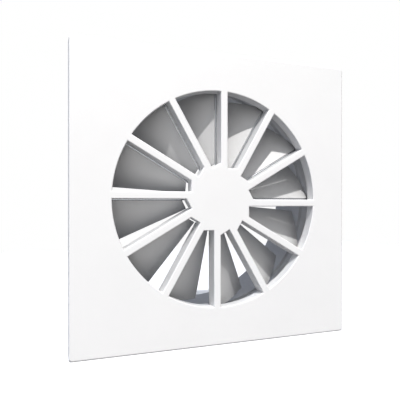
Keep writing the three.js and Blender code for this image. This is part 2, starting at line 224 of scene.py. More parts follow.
class FinishColours(bpy.types.PropertyGroup):
    """Colours of the finishes and of the stage."""

    coat: colour("Face coat", "White coat of the plate", "#F3F3F3")
    coat_shade: colour("Face coat shade", "The same coat where it is thinner", "#F2F2F2")
    # Greyer than the face coat: partly the inner pieces' own tone, partly painted shade of the recess
    # behind the plate.
    inner_coat_and_shade: colour("Inner coat", "Pale grey coat of the blades, ring and collar", "#DCDCDC")
    inner_shade: colour("Inner coat shade", "The same coat where it is thinner", "#DADADA")
    zinc: colour("Zinc", "Bright zinc plate", "#D6D9DB")
    zinc_haze: colour("Zinc haze", "Bluish passivation on the zinc", "#C6CCD4")
    bright: colour("Bright steel", "Drawn and bright plated rod", "#E4E5E6")
    bright_mark: colour("Bright steel mark", "Drawing marks on the rod", "#D6D8DA")
    strip: colour("Spring strip", "Rolled stainless strip", "#C9CBCE")
    strip_line: colour("Spring strip line", "Rolling lines on the strip", "#B4B7BB")
    nylon: colour("Nylon", "Natural moulded nylon", "#E6E3DA")
    nylon_flow: colour("Nylon flow", "Flow marks in the nylon", "#DAD7CC")
    rubber: colour("Rubber", "Black seal rubber", "#3A3B3D")
    rubber_bloom: colour("Rubber bloom", "Greyish bloom on the rubber", "#4A4B4E")
    foam: colour("Foam", "Grey gasket foam", "#7C7F83")
    # Painted shade: the darker colour that fills the hollow of each cut cell.
    foam_cell_shade: colour("Foam cell", "Open cells of the foam", "#5A5D61")
    paper: colour("Paper", "Seamless white paper under the object", "#F2F2F2")
    paper_fibre: colour("Paper fibre", "Slightly darker fibres of the paper", "#EDEDED")
    key: colour("Key", "Warm light of the key lamp", "#FFFDFA")
    room_left: colour("Room, left", "Light from the left", "#EAF0FF")
    room_right: colour("Room, right", "Light from the right", "#FFF2E6")
    room_front: colour("Room, front", "Light from the front", "#FFFEFD")
    room_back: colour("Room, back", "Light from behind", "#EDF1FA")
    room_above: colour("Room, above", "Cool light from above", "#F0F5FF")
    room_below: colour("Room, below", "Cool light from below", "#F2F4FF")


class StudioSizes(bpy.types.PropertyGroup):
    """The camera and the lights."""

    aside: size("Camera aside", "How far left of the duct axis the camera stands", 136.2)
    away: size("Camera away", "How far in front of the wall plane the camera stands", 344.35)
    below: size("Camera below", "How far below the duct axis the camera stands", 4.2)
    lens: size("Lens", "Focal length", 37.84)
    sensor: size("Sensor", "Width of the camera's sensor", 36)
    view_length: size("View length", "How far the camera sees", 100000)
    floor_half: size("Floor half width", "Half of the paper floor's width", 800)
    key_distance: size("Key distance", "From the key lamp to the object", 2400)
    key_width: size("Key width", "Diameter of the key lamp", 56)
    lens_shift: number("Lens shift", "How far the lens is raised, in picture widths", 0.0101)
    heading: angle("Camera heading", "Turn of the camera to the right", 19.28)
    key_rise: angle("Key rise", "Height of the key lamp over the horizon", 58.9)
    key_turn: angle("Key turn", "How far left of straight ahead the key lamp stands", 19)
    key_power: number("Key power", "Power of the key lamp in watts", 34)
    room_left: number("Left", "Light from the left", 0.5)
    room_right: number("Right", "Light from the right", 0.1)
    room_front: number("Front", "Light from the front", 1.26)
    room_back: number("Back", "Light from behind", 0.9)
    room_above: number("Above", "Light from above", 0.88)
    room_below: number("Below", "Light from below", 0.0)
    paper_glow: number("Paper glow", "Light that comes through the paper floor", 0.2)
    contrast: number("Contrast", "Contrast of the print", 1.8, least=1)


# ---- Outlines and meshes ----
def rounded(points, steps=4):
    """A closed outline whose corners are arcs. Each point is (a, b) or (a, b, corner radius)."""
    corners = [Vector(point[:2]) for point in points]
    line = []
    for i, corner in enumerate(corners):
        radius = points[i][2] if len(points[i]) > 2 else 0
        before = corners[i - 1] - corner
        after = corners[(i + 1) % len(corners)] - corner
        half = before.angle(after) / 2
        if radius <= 0 or half > STRAIGHT:
            line.append(corner)
            continue
        longest = CORNER_SHARE * min(before.length, after.length)
        reach = min(radius / math.tan(half), longest)
        radius = reach * math.tan(half)
        bisector = (before.normalized() + after.normalized()).normalized()
        centre = corner + bisector * radius / math.sin(half)
        start = corner + before.normalized() * reach - centre
        turn = start.angle_signed(corner + after.normalized() * reach - centre)
        for step in range(steps + 1):
            line.append(centre + Matrix.Rotation(-turn * step / steps, 2) @ start)
    return line


def loop_faces(bm, rings, closed=True):
    """Quads between rings that have as many points each. The last ring joins the first if closed."""
    pairs = zip(rings, rings[1:] + rings[:1]) if closed else zip(rings, rings[1:])
    for ring, other in pairs:
        count = len(ring)
        for i in range(count):
            bm.faces.new((ring[i], ring[(i + 1) % count], other[(i + 1) % count], other[i]))


def turned(outline, place=ALONG_DUCT, steps=180):
    """A closed outline of (radius, along) points, turned about local Z and put in its place."""
    bm = bmesh.new()
    rings = []
    for step in range(steps):
        turn = Matrix.Rotation(2 * math.pi * step / steps, 4, "Z")
        rings.append([bm.verts.new(place @ turn @ Vector((r, 0, along))) for r, along in outline])
    loop_faces(bm, rings)
    bmesh.ops.remove_doubles(bm, verts=bm.verts, dist=MERGE)
    bmesh.ops.dissolve_degenerate(bm, edges=bm.edges, dist=MERGE / 10)
    return bm


def bars(places, radius, reach, steps=32):
    """Round bars along local Z, each from -reach to reach about its place."""
    bm = bmesh.new()
    for place in places:
        bmesh.ops.create_cone(
            bm, cap_ends=True, segments=steps, radius1=radius, radius2=radius,
            depth=2 * reach, matrix=place,
        )
    return bm


def cut(bm, tool):
    """What is left of a closed mesh when another is cut out of it."""
    objects = []
    for part in (bm, tool):
        bmesh.ops.recalc_face_normals(part, faces=part.faces)
        mesh = bpy.data.meshes.new("cutting")
        part.to_mesh(mesh)
        part.free()
        objects.append(bpy.data.objects.new("cutting", mesh))
        bpy.context.scene.collection.objects.link(objects[-1])
    modifier = objects[0].modifiers.new("cut", "BOOLEAN")
    modifier.object = objects[1]
    modifier.operation = "DIFFERENCE"
    modifier.solver = "EXACT"
    result = bmesh.new()
    result.from_object(objects[0], bpy.context.evaluated_depsgraph_get())
    for used in objects:
        bpy.data.meshes.remove(used.data)
    return result


def add_piece(name, bm, material, slot, *nodes, body=BASE):
    """The mesh as a shown piece, which stands for its CAD nodes and moves with their body."""
    bmesh.ops.recalc_face_normals(bm, faces=bm.faces)
    mesh = bpy.data.meshes.new(name)
    bm.to_mesh(mesh)
    bm.free()
    mesh.shade_smooth()
    mesh.set_sharp_from_angle(angle=CREASE)
    mesh.materials.append(material)
    piece = bpy.data.objects.new(name, mesh)
    bpy.context.scene.collection.objects.link(piece)
    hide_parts(*nodes)
    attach(piece, body)
    return piece


def flat_shading(piece):
    """Keeps the flat faces flat beside their rounded edges."""
    piece.modifiers.new("flat faces", "WEIGHTED_NORMAL").keep_sharp = True


def outward(point):
    """The direction from the duct axis to a point, square to the axis."""
    return Vector((point.x, 0, point.z)).normalized()


def radial_place(direction, origin=Vector()):
    """Local Z points out from the duct axis, local Y along it."""
    place = Matrix((DUCT_AXIS.cross(direction), DUCT_AXIS, direction)).transposed().to_4x4()
    place.translation = origin
    return place


def rod_place(body):
    """Local Z runs out along a blade's rod, from the point of its axis nearest the duct axis."""
    joint = TILTS[body]
    direction = -Vector(joint["axis"]).normalized()
    point = Vector(joint["pos_m"])
    return radial_place(direction, point - direction * point.dot(direction))


def middle(node):
    """The mean of a CAD node's corners."""
    corners = [vertex.co for vertex in frame["nodes"][node].data.vertices]
    return sum(corners, Vector()) / len(corners)


def box_middle(node):
    """The middle of a CAD node's box."""
    low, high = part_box(node)
    return low.lerp(high, 0.5)


def local_corners(node, place):
    """A CAD node's corners in a place's own frame."""
    back = place.inverted()
    return [back @ vertex.co for vertex in frame["nodes"][node].data.vertices]


def radial_span(node, place):
    """Where a CAD node starts and ends along a place's local Z."""
    heights = [corner.z for corner in local_corners(node, place)]
    return min(heights), max(heights)


def radius_of(node, place):
    """A CAD node's radius: the largest distance of its corners from a place's local Z."""
    return max(corner.xy.length for corner in local_corners(node, place))


# ---- Materials ----
def add_node(tree, kind, inputs=None, **settings):
    """Adds a node. Its inputs are given constants or links from other sockets."""
    made = tree.nodes.new(kind)
    for key, value in settings.items():
        setattr(made, key, value)
    for key, value in (inputs or {}).items():
        if isinstance(value, bpy.types.NodeSocket):
            tree.links.new(value, made.inputs[key])
        else:
            made.inputs[key].default_value = value
    return made


def start_material(name, **constants):
    """A material with a shader whose constants are set, and the object's own coordinates."""
    material = bpy.data.materials.new(name)
    material.use_nodes = True
    tree = material.node_tree
    tree.nodes.clear()
    surface = add_node(tree, "ShaderNodeBsdfPrincipled", {
        key.replace("_", " ").title().replace("Ior", "IOR"): value for key, value in constants.items()
    })
    add_node(tree, "ShaderNodeOutputMaterial", {"Surface": surface.outputs["BSDF"]})
    place = add_node(tree, "ShaderNodeTexCoord").outputs["Object"]
    return material, tree, surface, place


def mottle(tree, place, grain, detail=2.0, stretch=(1, 1, 1)):
    """Soft noise whose patches are about one grain wide, in metres. Stretch draws them out."""
    scaled = add_node(tree, "ShaderNodeMapping", {
        "Vector": place, "Scale": [1 / (grain * share) for share in stretch],
    })
    return add_node(tree, "ShaderNodeTexNoise", {
        "Vector": scaled.outputs["Vector"], "Scale": 1.0, "Detail": detail,
    }).outputs["Fac"]


def blend_colours(tree, factor, first, second, low=0.35, high=0.65):
    """Two colours, mixed by a pattern between its low and high values."""
    share = add_node(tree, "ShaderNodeMapRange", {
        "Value": factor, "From Min": low, "From Max": high,
    })
    mix = add_node(tree, "ShaderNodeMix", {
        "Factor": share.outputs["Result"], MIX_FIRST: first, MIX_SECOND: second,
    }, data_type="RGBA")
    return mix.outputs[MIX_RESULT]


def spread(tree, factor, low, high):
    """A pattern's middle values, spread between two numbers."""
    return add_node(tree, "ShaderNodeMapRange", {
        "Value": factor, "From Min": 0.3, "From Max": 0.7, "To Min": low, "To Max": high,
    }).outputs["Result"]


def dress(tree, surface, tint, relief, depth, rough=None):
    """Gives a shader its colour, fine relief of a real depth in metres, and its roughness."""
    bump = add_node(tree, "ShaderNodeBump", {"Height": relief, "Distance": depth, "Strength": 1.0})
    tree.links.new(bump.outputs["Normal"], surface.inputs["Normal"])
    tree.links.new(tint, surface.inputs["Base Color"])
    if rough:
        tree.links.new(rough, surface.inputs["Roughness"])


def powder_coat(name, first, second, gloss):
    """Polyester powder, sprayed on steel and baked.

    The eye gets a satin white with a faint orange-peel ripple, and hardly any change of colour.
    """
    material, tree, surface, place = start_material(name, ior=1.5, metallic=0.0)
    tint = blend_colours(tree, mottle(tree, place, grain=45 * MM), first, second)
    rough = spread(tree, mottle(tree, place, grain=9 * MM), low=gloss - 0.03, high=gloss + 0.03)
    ripple = mottle(tree, place, grain=1.6 * MM, detail=1.0)
    dress(tree, surface, tint, ripple, depth=0.004 * MM, rough=rough)
    return material


def plate_coat(name, colours):
    """The powder coat of the face plate."""
    return powder_coat(name, colours.coat, colours.coat_shade, gloss=0.46)


def inner_coat_and_shade(name, colours):
    """The slightly glossier powder coat of the blades, ring and collar, greyer than the face plate's:
    partly their own tone, partly painted shade of the recess behind the plate.
    """
    return powder_coat(name, colours.inner_coat_and_shade, colours.inner_shade, gloss=0.42)


def zinc_plate(name, colours):
    """Steel, bright zinc plated in a barrel and passivated.

    The eye gets a greyish metal with soft bluish clouds and fine tumbling marks.
    """
    material, tree, surface, place = start_material(name, metallic=1.0)
    clouds = mottle(tree, place, grain=5 * MM, detail=4.0)
    tint = blend_colours(tree, clouds, colours.zinc, colours.zinc_haze)
    rough = spread(tree, mottle(tree, place, grain=1.2 * MM), low=0.26, high=0.42)
    dress(tree, surface, tint, mottle(tree, place, grain=0.5 * MM), depth=0.004 * MM, rough=rough)
    return material


def bright_steel(name, colours):
    """Steel rod, drawn through a die and bright zinc plated.

    The eye gets a light, glossy line with fine drawing marks.
    """
    material, tree, surface, place = start_material(name, metallic=1.0)
    marks = mottle(tree, place, grain=0.4 * MM, detail=3.0)
    tint = blend_colours(tree, marks, colours.bright, colours.bright_mark)
    rough = spread(tree, marks, low=0.22, high=0.34)
    dress(tree, surface, tint, marks, depth=0.002 * MM, rough=rough)
    return material


def spring_strip(name, colours):
    """Stainless strip, cold rolled and stamped.

    The eye gets a darker, glossier metal than zinc with fine lines along the strip.
    """
    material, tree, surface, place = start_material(name, metallic=1.0)
    lines = mottle(tree, place, grain=0.35 * MM, detail=3.0, stretch=(1, 40, 1))
    tint = blend_colours(tree, lines, colours.strip, colours.strip_line)
    rough = spread(tree, lines, low=0.2, high=0.34)
    dress(tree, surface, tint, lines, depth=0.003 * MM, rough=rough)
    return material


def moulded_nylon(name, colours):
    """Natural nylon 6, injection moulded.

    The eye gets a warm off-white that lets a little light in, with faint flow marks.
    """
    material, tree, surface, place = start_material(
        name, ior=1.53, metallic=0.0, subsurface_weight=0.2, subsurface_scale=0.6 * MM,
    )
    flow = mottle(tree, place, grain=1.5 * MM, detail=3.0)
    tint = blend_colours(tree, flow, colours.nylon, colours.nylon_flow)
    rough = spread(tree, flow, low=0.4, high=0.52)
    dress(tree, surface, tint, mottle(tree, place, grain=0.4 * MM), depth=0.006 * MM, rough=rough)
    return material


def seal_rubber(name, colours):
    """EPDM, extruded and joined into a ring.

    The eye gets a dull black with faint draw lines round the ring and a grey bloom.
    """
    material, tree, surface, place = start_material(name, ior=1.52, metallic=0.0)
    bloom = mottle(tree, place, grain=14 * MM, detail=4.0)
    tint = blend_colours(tree, bloom, colours.rubber, colours.rubber_bloom)
    rough = spread(tree, bloom, low=0.62, high=0.78)
    lines = mottle(tree, place, grain=0.3 * MM, stretch=(60, 1, 60))
    dress(tree, surface, tint, lines, depth=0.015 * MM, rough=rough)
    return material


def gasket_foam(name, colours):
    """Closed-cell polyethylene foam, sliced into strip.

    The eye gets a grey matt strip full of small round cut cells, whose hollows are painted darker as
    shade.
    """
    material, tree, surface, place = start_material(name, ior=1.5, metallic=0.0, roughness=0.93)
    cells = add_node(tree, "ShaderNodeTexVoronoi", {
        "Vector": place, "Scale": 1 / (0.9 * MM), "Randomness": 1.0,
    }).outputs["Distance"]
    # Painted shade: each cell's hollow is coloured darker than the foam round it.
    tint = blend_colours(tree, cells, colours.foam_cell_shade, colours.foam, low=0.15, high=0.6)
    dress(tree, surface, tint, cells, depth=0.12 * MM)
    return material


def seamless_paper(name, colours):
    """White background paper, calendered, on a light table.

    The eye gets an even matt white with hardly visible fibres. The table's light thins the shadows.
    """
    material, tree, surface, place = start_material(
        name, ior=1.45, metallic=0.0, roughness=0.9,
        emission_strength=bpy.context.scene.diffuser_studio.paper_glow,
    )
    fibres = mottle(tree, place, grain=1.5 * MM, detail=4.0, stretch=(1, 3, 1))
    tint = blend_colours(tree, fibres, colours.paper, colours.paper_fibre)
    dress(tree, surface, tint, fibres, depth=0.02 * MM)
    return material


FINISHES = {
    "powder_coated_plate": plate_coat,
    "powder_coated_inner": inner_coat_and_shade,
    "barrel_plated_zinc": zinc_plate,
    "drawn_bright_steel": bright_steel,
    "cold_rolled_stainless": spring_strip,
    "moulded_nylon": moulded_nylon,
    "extruded_epdm": seal_rubber,
    "sliced_cell_foam": gasket_foam,
    "seamless_paper": seamless_paper,
}


def finish(name):
    """A finish by name, made when it is first asked for."""
    made = bpy.data.materials.get(name)
    return made or FINISHES[name](name, bpy.context.scene.diffuser_colours)


# ---- Face plate ----
def slot_corners(plate, margin):
    """The four corners of the slot on the hinge side of the spoke at local +Z, grown by a margin.

    In order: inner and outer end of this spoke's hinge edge, outer and inner end of the next spoke.
    """
    radius = plate.slot_radius + margin
    inner = plate.hub_apothem - margin
    reach = plate.spoke_width - margin
    along = Vector((-math.sin(STEP), math.cos(STEP)))
    across = Vector((math.cos(STEP), math.sin(STEP)))
    return (
        Vector((margin, (inner + margin * math.sin(STEP)) / math.cos(STEP))),
        Vector((margin, math.sqrt(radius ** 2 - margin ** 2))),
        along * math.sqrt(radius ** 2 - reach ** 2) + across * reach,
        along * inner + across * reach,
    )


def slot_ring(plate, margin, rim_steps=24, side_steps=8):
    """The slot's outline as points, and for each stretch after a point the depth of its lip."""
    corners = slot_corners(plate, margin)
    lips = (plate.hinge_lip, plate.rim_lip, plate.deep_lip, plate.hub_lip)
    points = []
    depths = []
    for side, lip in enumerate(lips):
        start = corners[side]
        end = corners[(side + 1) % 4]
        on_rim = side == 1
        count = rim_steps if on_rim else side_steps
        turn = start.angle_signed(end) if on_rim else 0
        for step in range(count):
            share = step / count
            point = Matrix.Rotation(-turn * share, 2) @ start if on_rim else start.lerp(end, share)
            points.append(point)
            depths.append(lip)
    return points, depths


def bend(radius, steps=5):
    """(inset from the flat outline, depth) through a quarter turn from the face to the wall."""
    turns = [math.pi / 2 * step / steps for step in range(steps + 1)]
    return [(radius * (1 - math.sin(turn)), radius * (1 - math.cos(turn))) for turn in turns]


def add_slot(bm, plate, around):
    """One slot's folded edge and returns. Gives back the edges where it meets the flat face."""
    turn = Matrix.Rotation(-around, 2)

    def ring_verts(margin, depth, columns=None):
        points = slot_ring(plate, margin)[0]
        ring = [None] * len(points)
        for i, point in enumerate(points):
            if columns is None or i in columns:
                x, z = turn @ point
                ring[i] = bm.verts.new((x, PLATE_LOW.y + depth, z))
        return ring

    rings = [ring_verts(margin, depth) for margin, depth in bend(plate.slot_bend)]
    loop_faces(bm, rings, closed=False)
    depths = slot_ring(plate, 0)[1]
    count = len(depths)
    upper = rings[-1]
    for level in sorted(set(depths)):
        reaching = [i for i in range(count) if depths[i] >= level]
        columns = set(reaching) | {(i + 1) % count for i in reaching}
        lower = ring_verts(0, level, columns)
        for i in reaching:
            after = (i + 1) % count
            bm.faces.new((upper[i], upper[after], lower[after], lower[i]))
        upper = lower
    return [bm.edges.get((rings[0][i - 1], rings[0][i])) for i in range(count)]


def square_ring(half, corner, steps=8):
    """A square outline with round corners."""
    points = []
    centre = Vector((half - corner, half - corner))
    for quarter in range(4):
        turn = Matrix.Rotation(math.pi / 2 * quarter, 2)
        for step in range(steps + 1):
            share = math.pi / 2 * step / steps
            points.append(turn @ (centre + corner * Vector((math.cos(share), math.sin(share)))))
    return points


def plate_mesh(plate):
    """The plate's outer skin: flat face, folded rim and the returns of every slot."""
    bm = bmesh.new()
    half = (PLATE_HIGH.x - PLATE_LOW.x) / 2
    levels = bend(plate.edge_bend) + [(0, -PLATE_LOW.y)]
    rings = []
    for inset, depth in levels:
        outline = square_ring(half - inset, plate.corner - inset)
        rings.append([bm.verts.new((point.x, PLATE_LOW.y + depth, point.y)) for point in outline])
    loop_faces(bm, rings, closed=False)
    edges = [bm.edges.get((rings[0][i - 1], rings[0][i])) for i in range(len(rings[0]))]
    for slot in range(len(BLADES)):
        edges += add_slot(bm, plate, slot * STEP)
    bmesh.ops.triangle_fill(bm, use_beauty=True, edges=edges, normal=-DUCT_AXIS)
    return bm


class DIFFUSER_OT_plate(bpy.types.Operator):
    """Add the folded face plate"""

    bl_idname = "diffuser.plate"
    bl_label = "Face plate"

    def execute(self, context):
        plate = context.scene.diffuser_plate
        coat = finish("powder_coated_plate")
        piece = add_piece("face_plate", plate_mesh(plate), coat, "face_coat", "face_panel")
        facing = [face for face in piece.data.polygons if abs(face.normal.y) > FACING]
        if max(facing, key=lambda face: face.area).normal.y > 0:
            piece.data.flip_normals()
        fold = piece.modifiers.new("sheet", "SOLIDIFY")
        fold.thickness = plate.sheet
        fold.offset = -1
        fold.use_even_offset = True
        flat_shading(piece)
        return {"FINISHED"}


# ---- Blades, rods and bushes ----
def blade_outline(plate, blade, rod_radius, rod_offset, steps=28):
    """A flat blade: across from the rod's axis, out along it. The outer end is an arc."""
    root = rod_radius + blade.rod_gap
    inner = plate.hub_apothem + blade.hub_gap
    reach = plate.spoke_width - blade.lap
    sin, cos = math.sin(STEP), math.cos(STEP)
    root_inner = (root, (inner - (root + rod_offset) * sin) / cos, blade.corner)
    out = inner * cos + reach * sin
    free_inner = ((out * sin - reach) / cos - rod_offset, out, blade.corner)
    free_turn = STEP - math.asin(reach / blade.radius)
    root_turn = math.asin((root + rod_offset) / blade.radius)
    arc = []
    for step in range(steps + 1):
        turn = free_turn + (root_turn - free_turn) * step / steps
        corner = blade.corner if step in (0, steps) else 0
        arc.append((blade.radius * math.sin(turn) - rod_offset, blade.radius * math.cos(turn), corner))
    return rounded([root_inner, free_inner, *arc])


def lean(body):
    """How far a CAD blade leans back at rest, from its largest face."""
    face = max(frame["nodes"][body].data.polygons, key=lambda each: each.area)
    across = rod_place(body).to_3x3().col[0]
    return math.atan2(abs(face.normal.dot(across)), abs(face.normal.y))


def sheet_mesh(outline, sheet, edge, place):
    """A flat sheet with soft edges: local X and Z across it, local Y through it."""
    bm = bmesh.new()
    face = bm.faces.new([bm.verts.new((x, -sheet / 2, z)) for x, z in outline])
    raised = bmesh.ops.extrude_face_region(bm, geom=[face])["geom"]
    upper = [part for part in raised if isinstance(part, bmesh.types.BMVert)]
    bmesh.ops.translate(bm, vec=(0, sheet, 0), verts=upper)
    rims = [
        part for part in bm.edges
        if abs(part.verts[0].co.y - part.verts[1].co.y) < sheet / 2
    ]
    bmesh.ops.bevel(
        bm, geom=rims, offset=edge, segments=3, profile=0.5, affect="EDGES", clamp_overlap=True,
    )
    bm.transform(place)
    return bm


def rod_outline(radius, low, high):
    """A rod with chamfered ends, as (radius, along) points."""
    chamfer = radius / 3
    return [
        (0, low), (radius - chamfer, low), (radius, low + chamfer),
        (radius, high - chamfer), (radius - chamfer, high), (0, high),
    ]


def bush_outline(blade, duct, rod_radius, flange, near, far):
    """A flanged bush round a rod, as (radius, along) points."""
    bore = rod_radius + duct.gap / 3
    sleeve = rod_radius + duct.gap + blade.bush_wall
    shoulder = near + blade.bush_flange
    soft = blade.bush_edge
    return rounded([
        (bore, near, soft), (flange, near, soft), (flange, shoulder, soft),
        (sleeve, shoulder, soft / 2), (sleeve, far, soft), (bore, far, soft),
    ], 3)


class DIFFUSER_OT_blades(bpy.types.Operator):
    """Add the twelve blades with their rods and bushes"""

    bl_idname = "diffuser.blades"
    bl_label = "Blades, rods and bushes"

    def execute(self, context):
        plate = context.scene.diffuser_plate
        blade = context.scene.diffuser_blade
        duct = context.scene.diffuser_duct
        for body in BLADES:
            tag = body.rsplit("_", 1)[1]
            place = rod_place(body)
            rod = f"pivot_rod_{tag}"
            low, high = radial_span(rod, place)
            rod_radius = radius_of(rod, place)
            offset = -place.to_3x3().col[0].dot(place.translation)
            outline = [(-x, z) for x, z in blade_outline(plate, blade, rod_radius, offset)]
            turned_place = place @ Matrix.Rotation(-lean(body), 4, "Z")
            flat_shading(add_piece(
                f"blade_sheet_{tag}", sheet_mesh(outline, blade.sheet, blade.edge, turned_place),
                finish("powder_coated_inner"), "blade_coat", body, body=body,
            ))
            flat_shading(add_piece(
                f"rod_{tag}", turned(rod_outline(rod_radius, low, high), place, 24),
                finish("drawn_bright_steel"), "zinc_plate", rod, body=body,
            ))
            bush = f"pivot_bush_{tag}"
            span = radial_span(bush, place)
            section = bush_outline(blade, duct, rod_radius, radius_of(bush, place), *span)
            flat_shading(add_piece(
                f"nylon_bush_{tag}", turned(section, place, 40), finish("moulded_nylon"), "nylon", bush,
            ))
        return {"FINISHED"}


# ---- Hub, rings and collar ----
def rod_drills(radius, node):
    """Bars for the holes that the rods need in the wall of a CAD ring or cup."""
    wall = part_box(node)[1].x
    places = [rod_place(body) @ Matrix.Translation((0, 0, wall)) for body in BLADES]
    return bars(places, radius, WALL_DRILL)


class DIFFUSER_OT_rings(bpy.types.Operator):
    """Add the hub cup and the carrier ring"""

    bl_idname = "diffuser.rings"
    bl_label = "Hub cup and carrier ring"

    def execute(self, context):
        plate = context.scene.diffuser_plate
        duct = context.scene.diffuser_duct
        blade = context.scene.diffuser_blade
        place = rod_place(BLADES[0])
        rod_radius = radius_of(f"pivot_rod_{BLADES[0][-2:]}", place)

        cup_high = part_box("hub_cup")[1]
        outer = cup_high.x
        inner = outer - duct.cup_sheet
        floor = SEAT + duct.cup_sheet
        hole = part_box("hub_stud")[1].x + duct.gap
        cup = turned(rounded([
            (hole, SEAT), (outer, SEAT, duct.cup_bend),
            (outer, cup_high.y, CUT_EDGE), (inner, cup_high.y, CUT_EDGE),
            (inner, floor, duct.cup_bend - duct.cup_sheet), (hole, floor),
        ]), steps=96)
        cup = cut(cup, rod_drills(rod_radius + duct.gap / 3, "hub_cup"))
        zinc = finish("barrel_plated_zinc")
        flat_shading(add_piece("pressed_hub_cup", cup, zinc, "zinc_plate", "hub_cup"))

        floor = SEAT + duct.ring_sheet
        lip = plate.slot_radius + plate.sheet + duct.gap
        ring_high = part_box("carrier_ring")[1]
        outer = ring_high.x
        inner = outer - duct.ring_sheet
        ring = turned(rounded([
            (lip, SEAT, CUT_EDGE), (outer, SEAT, duct.ring_bend), (outer, ring_high.y, CUT_EDGE),
            (inner, ring_high.y, CUT_EDGE), (inner, floor, duct.ring_bend - duct.ring_sheet),
            (lip, floor, CUT_EDGE),
        ]))
        bush_hole = rod_radius + duct.gap + blade.bush_wall + duct.gap / 3
        ring = cut(ring, rod_drills(bush_hole, "carrier_ring"))
        coat = finish("powder_coated_inner")
        flat_shading(add_piece("blade_carrier_ring", ring, coat, "duct_coat", "carrier_ring"))
        return {"FINISHED"}


def bead(duct, radius, steps=10):
    """The collar's wall where the stop bead bulges out, from front to back."""
    line = []
    for step in range(steps + 1):
        turn = math.pi * step / steps
        line.append((
            radius + duct.bead_height * math.sin(turn) ** 2,
            PLATE_LOW.y + duct.bead_place - duct.bead_half * math.cos(turn),
        ))
    return line


def seal_section(duct, low, high):
    """The seal's section: a flat body and two lips that lean towards the rear."""
    foot = duct.radius + duct.gap / 6
    body = foot + duct.seal_body
    tip = high.x
    edge = duct.seal_edge

    def along(share):
        return low.y + (high.y - low.y) * share

    lips = []
    for root in SEAL_LIPS:
        lips += [
            (body, along(root), edge), (tip, along(root + LIP_ROOT), edge),
            (tip, along(root + LIP_TIP), edge), (body, along(root + LIP_ROOT), edge),
        ]
    return [(foot, low.y, edge), (body, low.y, edge), *lips, (body, high.y, edge), (foot, high.y, edge)]


def gasket_mesh(duct, low, high):
    """A square ring of soft-edged strip that fills a CAD ring's box."""
    soft = duct.foam_edge
    inner = duct.foam_width
    section = rounded([
        (0, low.y, soft), (inner, low.y, soft), (inner, high.y, soft), (0, high.y, soft),
    ], 3)
    bm = bmesh.new()
    rings = []
    for inset, depth in section:
        outline = square_ring(high.x - inset, duct.foam_corner)
        rings.append([bm.verts.new((point.x, depth, point.y)) for point in outline])
    loop_faces(bm, rings)
    return bm


class DIFFUSER_OT_collar(bpy.types.Operator):
    """Add the duct collar, its rubber seal and the foam gasket"""

    bl_idname = "diffuser.collar"
    bl_label = "Collar, seal and gasket"

    def execute(self, context):
        duct = context.scene.diffuser_duct
        fixing = context.scene.diffuser_fixing
        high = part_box("collar")[1]
        sheet = duct.sheet
        outer = duct.radius
        inner = outer - sheet
        collar = turned(rounded([
            (inner, SEAT, duct.collar_bend), (high.x, SEAT, CUT_EDGE), (high.x, SEAT + sheet, CUT_EDGE),
            (outer, SEAT + sheet, duct.collar_bend - sheet), *bead(duct, outer),
            (outer, high.y, CUT_EDGE), (inner, high.y, CUT_EDGE), *reversed(bead(duct, inner)),
        ]))
        studs = [Matrix.Translation(box_middle(node)) @ ALONG_DUCT for node in STUDS]
        stud_radius = (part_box("hub_stud")[1].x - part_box("hub_stud")[0].x) / 2
        collar = cut(collar, bars(studs, stud_radius + duct.gap / 3, FLANGE_DRILL))
        rivets = [radial_place(outward(middle(node)), middle(node)) for node in RIVETS]
        collar = cut(collar, bars(rivets, fixing.rivet + duct.gap / 3, WALL_DRILL))
        coat = finish("powder_coated_inner")
        flat_shading(add_piece("rolled_collar", collar, coat, "duct_coat", "collar"))

        seal = turned(rounded(seal_section(duct, *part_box("duct_seal"))))
        rubber = finish("extruded_epdm")
        flat_shading(add_piece("rubber_lip_seal", seal, rubber, "seal_rubber", "duct_seal"))

        foam = gasket_mesh(duct, *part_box("panel_gasket"))
        cells = finish("sliced_cell_foam")
        flat_shading(add_piece("foam_gasket", foam, cells, "gasket_foam", "panel_gasket"))
        return {"FINISHED"}


# ---- Studs, nuts, springs and rivets ----
def seat_place(low, high):
    """Local Z along the duct axis, from the middle of a box's front."""
    return Matrix.Translation(((low.x + high.x) / 2, low.y, (low.z + high.z) / 2)) @ ALONG_DUCT


def on_circle(radius, share, along):
    """A point at a share of a full turn about local Z."""
    turn = 2 * math.pi * share
    return Vector((radius * math.cos(turn), radius * math.sin(turn), along))


def stud_mesh(low, high, pitch, depth, steps=24, rows_a_turn=6):
    """A threaded stud along the duct axis that fills a CAD stud's box."""
    radius = (high.x - low.x) / 2
    length = high.y - low.y
    place = seat_place(low, high)
    rows = round(length / pitch * rows_a_turn)
    bm = bmesh.new()
    rings = []
    for row in range(rows + 1):
        along = length * row / rows
        end = max(0, along - (length - pitch)) * END_SLOPE
        ring = []
        for step in range(steps):
            phase = (along / pitch - step / steps) % 1
            groove = depth * abs(2 * phase - 1)
            point = on_circle(radius - max(groove, end), step / steps, along)
            ring.append(bm.verts.new(place @ point))
        rings.append(ring)
    loop_faces(bm, rings, closed=False)
    bm.faces.new(rings[0])
    bm.faces.new(rings[-1])
    return bm


